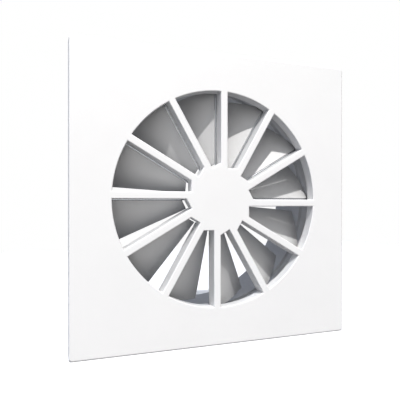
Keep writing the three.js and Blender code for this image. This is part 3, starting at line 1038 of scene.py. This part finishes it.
def nut_mesh(low, high, bore, steps=72):
    """A hexagon nut with turned-down corners that fills a CAD nut's box."""
    corner = (high.x - low.x) / 2
    flats = corner * math.cos(math.pi / 6)
    face = flats * NUT_FACE
    length = high.y - low.y
    place = seat_place(low, high)
    slope = math.tan(NUT_CHAMFER)
    heights = [(corner - face) * slope * step / 5 for step in range(6)]
    heights += [length - height for height in reversed(heights)]
    bm = bmesh.new()
    rings = []
    for height in heights:
        cone = face + min(height, length - height) / slope
        ring = []
        for step in range(steps):
            turn = 2 * math.pi * step / steps
            within = (turn + math.pi / 6) % (math.pi / 3) - math.pi / 6
            hexagon = flats / math.cos(math.pi / 6 - abs(within))
            ring.append(bm.verts.new(place @ on_circle(min(hexagon, cone), step / steps, height)))
        rings.append(ring)
    sink = bore * BORE_SINK
    hole = ((bore + sink, length), (bore, length - sink), (bore, sink), (bore + sink, 0))
    for radius, height in hole:
        ring = [place @ on_circle(radius, step / steps, height) for step in range(steps)]
        rings.append([bm.verts.new(point) for point in ring])
    loop_faces(bm, rings)
    return bm


def along_line(points, spacing):
    """Points at even spacing along a line, with the distance of each from the start."""
    found = [(points[0], 0.0)]
    travelled = 0.0
    for start, end in zip(points, points[1:]):
        length = (end - start).length
        count = max(1, round(length / spacing))
        for step in range(1, count + 1):
            found.append((start.lerp(end, step / count), travelled + length * step / count))
        travelled += length
    return found


def spring_mesh(fixing, low_y, high_y, rise, foot, place):
    """A stamped leaf spring: flat at the rear, bowed out towards the plate, tip turned back in."""
    length = high_y - low_y
    line = rounded([
        (high_y, 0), (high_y - SPRING_FOOT * length, 0, fixing.strip_bend),
        (high_y - SPRING_CREST * length, rise, fixing.crest_bend), (low_y, SPRING_TIP * rise),
    ], 8)
    samples = along_line(line, fixing.strip_step)
    total = samples[-1][1]
    bm = bmesh.new()
    rings = []
    for i, (point, distance) in enumerate(samples):
        before = samples[max(i - 1, 0)][0]
        after = samples[min(i + 1, len(samples) - 1)][0]
        along = (after - before).normalized()
        normal = Vector((along.y, -along.x))
        if normal.y < 0:
            normal = -normal
        tip = max(0.0, fixing.strip_tip - min(distance, total - distance))
        half = fixing.strip_width / 2 - fixing.strip_tip + math.sqrt(fixing.strip_tip ** 2 - tip ** 2)
        top = point + normal * fixing.strip
        rings.append([
            bm.verts.new(place @ Vector((side * half, each.x, foot + each.y)))
            for side, each in ((-1, point), (1, point), (1, top), (-1, top))
        ])
    loop_faces(bm, rings, closed=False)
    bm.faces.new(rings[0])
    bm.faces.new(rings[-1])
    return bm


def rivet_outline(fixing, inside, outside, steps=8):
    """A rivet from its flat inner head to its domed outer head, as (radius, along) points."""
    head = fixing.rivet_head
    rise = fixing.rivet_rise
    edge = fixing.rivet_edge
    dome = []
    for step in range(steps + 1):
        turn = math.pi / 2 * step / steps
        dome.append((head * math.cos(turn), outside + rise * math.sin(turn)))
    lower = rounded([
        (0, inside - rise), (head, inside - rise, edge), (head, inside, edge / 2),
        (fixing.rivet, inside), (fixing.rivet, outside), (head, outside),
    ], 3)
    return lower[:-1] + [Vector(point) for point in dome]


class DIFFUSER_OT_fixings(bpy.types.Operator):
    """Add the weld studs, nuts, retaining springs and rivets"""

    bl_idname = "diffuser.fixings"
    bl_label = "Studs, nuts, springs and rivets"

    def execute(self, context):
        fixing = context.scene.diffuser_fixing
        duct = context.scene.diffuser_duct
        zinc = finish("barrel_plated_zinc")
        steel = finish("cold_rolled_stainless")
        for stud in ["hub_stud", *STUDS]:
            nut = stud.replace("stud", "nut")
            low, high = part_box(stud)
            bore = (high.x - low.x) / 2 + duct.gap / 6
            thread = stud_mesh(low, high, fixing.pitch, fixing.thread)
            add_piece(stud.replace("stud", "threaded_stud"), thread, zinc, "zinc_plate", stud)
            hexagon = nut_mesh(*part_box(nut), bore)
            add_piece(stud.replace("stud", "hexagon_nut"), hexagon, zinc, "zinc_plate", nut)
        for spring, rivet in zip(SPRINGS, RIVETS):
            direction = outward(middle(rivet))
            place = radial_place(direction)
            foot = duct.radius + duct.gap / 3
            span = local_corners(spring, place)
            low_y = min(corner.y for corner in span)
            high_y = max(corner.y for corner in span)
            rise = max(corner.z for corner in span) - foot - fixing.strip
            leaf = spring_mesh(fixing, low_y, high_y, rise, foot, place)
            hole = radial_place(direction, direction * foot + DUCT_AXIS * middle(rivet).y)
            leaf = cut(leaf, bars([hole], fixing.rivet + duct.gap / 3, SPRING_DRILL))
            leaf_name = spring.replace("retaining", "leaf")
            flat_shading(add_piece(leaf_name, leaf, steel, "spring_steel", spring))
            axis = radial_place(direction, DUCT_AXIS * middle(rivet).y)
            outline = rivet_outline(fixing, duct.radius - duct.sheet, foot + fixing.strip)
            dome = turned(outline, axis, 32)
            flat_shading(add_piece(rivet.replace("spring", "domed"), dome, zinc, "zinc_plate", rivet))
        return {"FINISHED"}


# ---- Stage ----
def room_light(tree, studio, colours):
    """Soft light from the six sides of the room, which fades from the middle of each side."""
    direction = add_node(tree, "ShaderNodeTexCoord").outputs["Generated"]
    parts = add_node(tree, "ShaderNodeSeparateXYZ", {"Vector": direction})
    sides = {
        "left": ("X", -1), "right": ("X", 1), "front": ("Y", -1),
        "back": ("Y", 1), "above": ("Z", 1), "below": ("Z", -1),
    }
    total = None
    for side, (axis, sign) in sides.items():
        facing = add_node(tree, "ShaderNodeMath", {
            0: parts.outputs[axis], 1: sign,
        }, operation="MULTIPLY", use_clamp=True)
        share = add_node(tree, "ShaderNodeMath", {0: facing.outputs[0], 1: ROOM_FADE}, operation="POWER")
        glow = add_node(tree, "ShaderNodeMath", {
            0: share.outputs[0], 1: getattr(studio, f"room_{side}"),
        }, operation="MULTIPLY")
        light = add_node(tree, "ShaderNodeBackground", {
            "Color": getattr(colours, f"room_{side}"), "Strength": glow.outputs[0],
        }).outputs[0]
        if total is not None:
            light = add_node(tree, "ShaderNodeAddShader", {0: total, 1: light}).outputs[0]
        total = light
    return total


def paper_floor(scene, studio):
    """The paper that the object stands on."""
    bm = bmesh.new()
    bmesh.ops.create_grid(bm, x_segments=8, y_segments=8, size=studio.floor_half)
    bmesh.ops.translate(bm, verts=bm.verts, vec=(0, 0, CAD_LOW.z))
    mesh = bpy.data.meshes.new("paper_floor")
    bm.to_mesh(mesh)
    bm.free()
    mesh.materials.append(finish("seamless_paper"))
    floor = bpy.data.objects.new("paper_floor", mesh)
    scene.collection.objects.link(floor)
    floor.visible_diffuse = False  # the paper doesn't brighten the object from below
    floor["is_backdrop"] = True


def key_lamp(scene, studio, colours):
    """A small round lamp, high in front and to the left, that throws crisp patches of light."""
    lamp = bpy.data.lights.new("key_lamp", "AREA")
    lamp.shape = "DISK"
    lamp.size = studio.key_width
    lamp.energy = studio.key_power
    lamp.color = colours.key[:3]
    key = bpy.data.objects.new("key_lamp", lamp)
    towards = Vector((
        -math.sin(studio.key_turn) * math.cos(studio.key_rise),
        -math.cos(studio.key_turn) * math.cos(studio.key_rise),
        math.sin(studio.key_rise),
    ))
    key.location = towards * studio.key_distance
    key.rotation_euler = towards.to_track_quat("Z", "Y").to_euler()
    scene.collection.objects.link(key)


def white_room(scene, studio, colours):
    """A room that looks plain white, with soft light from its six sides."""
    world = bpy.data.worlds.new("white_room")
    world.use_nodes = True
    tree = world.node_tree
    tree.nodes.clear()
    soft = room_light(tree, studio, colours)
    white = add_node(tree, "ShaderNodeBackground", {"Color": (1, 1, 1, 1), "Strength": 1.0})
    seen = add_node(tree, "ShaderNodeLightPath").outputs["Is Camera Ray"]
    shown = add_node(tree, "ShaderNodeMixShader", {0: seen, 1: soft, 2: white.outputs[0]})
    add_node(tree, "ShaderNodeOutputWorld", {"Surface": shown.outputs[0]})
    world.cycles.sampling_method = "NONE"  # so smooth that chance directions find it
    scene.world = world


def place_camera(scene, studio):
    """The camera, level and turned to the object, and how its picture is printed."""
    camera = bpy.data.cameras.new("camera")
    camera.sensor_width = studio.sensor / MM
    camera.lens = studio.lens / MM
    camera.shift_y = studio.lens_shift
    camera.clip_end = studio.view_length
    stand = bpy.data.objects.new("camera", camera)
    stand.location = (-studio.aside, -studio.away, -studio.below)
    stand.rotation_euler = (math.pi / 2, 0, -studio.heading)
    scene.collection.objects.link(stand)
    scene.camera = stand
    scene.view_settings.view_transform = "Standard"
    scene.view_settings.gamma = 1 / studio.contrast


class DIFFUSER_OT_stage(bpy.types.Operator):
    """Add the paper floor, the lights and the camera"""

    bl_idname = "diffuser.stage"
    bl_label = "Stage"

    def execute(self, context):
        studio = context.scene.diffuser_studio
        colours = context.scene.diffuser_colours
        paper_floor(context.scene, studio)
        key_lamp(context.scene, studio, colours)
        white_room(context.scene, studio, colours)
        place_camera(context.scene, studio)
        return {"FINISHED"}


class DIFFUSER_PT_pieces(bpy.types.Panel):
    """Lists the steps that build the diffuser"""

    bl_idname = "DIFFUSER_PT_pieces"
    bl_label = "Swirl air diffuser"
    bl_space_type = "VIEW_3D"
    bl_region_type = "UI"
    bl_category = "Diffuser"

    def draw(self, context):
        for operator in OPERATORS:
            self.layout.operator(operator.bl_idname)
        for group in SETTINGS:
            settings = getattr(context.scene, group)
            for name in settings.__annotations__:
                self.layout.prop(settings, name)


OPERATORS = (
    DIFFUSER_OT_stage,
    DIFFUSER_OT_plate,
    DIFFUSER_OT_blades,
    DIFFUSER_OT_rings,
    DIFFUSER_OT_collar,
    DIFFUSER_OT_fixings,
)
SETTINGS = {
    "diffuser_plate": PlateSizes,
    "diffuser_blade": BladeSizes,
    "diffuser_duct": DuctSizes,
    "diffuser_fixing": FixingSizes,
    "diffuser_colours": FinishColours,
    "diffuser_studio": StudioSizes,
}


def register():
    """Registers the classes and keeps the settings with the scene."""
    for group in (*SETTINGS.values(), *OPERATORS, DIFFUSER_PT_pieces):
        bpy.utils.register_class(group)
    for name, group in SETTINGS.items():
        setattr(bpy.types.Scene, name, bpy.props.PointerProperty(type=group))


def unregister():
    """Takes the settings and the classes away again."""
    for name in SETTINGS:
        delattr(bpy.types.Scene, name)
    for group in (DIFFUSER_PT_pieces, *reversed(OPERATORS), *SETTINGS.values()):
        bpy.utils.unregister_class(group)


def main():
    """Builds everything."""
    register()
    for operator in OPERATORS:
        group, name = operator.bl_idname.split(".")
        getattr(getattr(bpy.ops, group), name)()


if __name__ == "__main__":
    main()
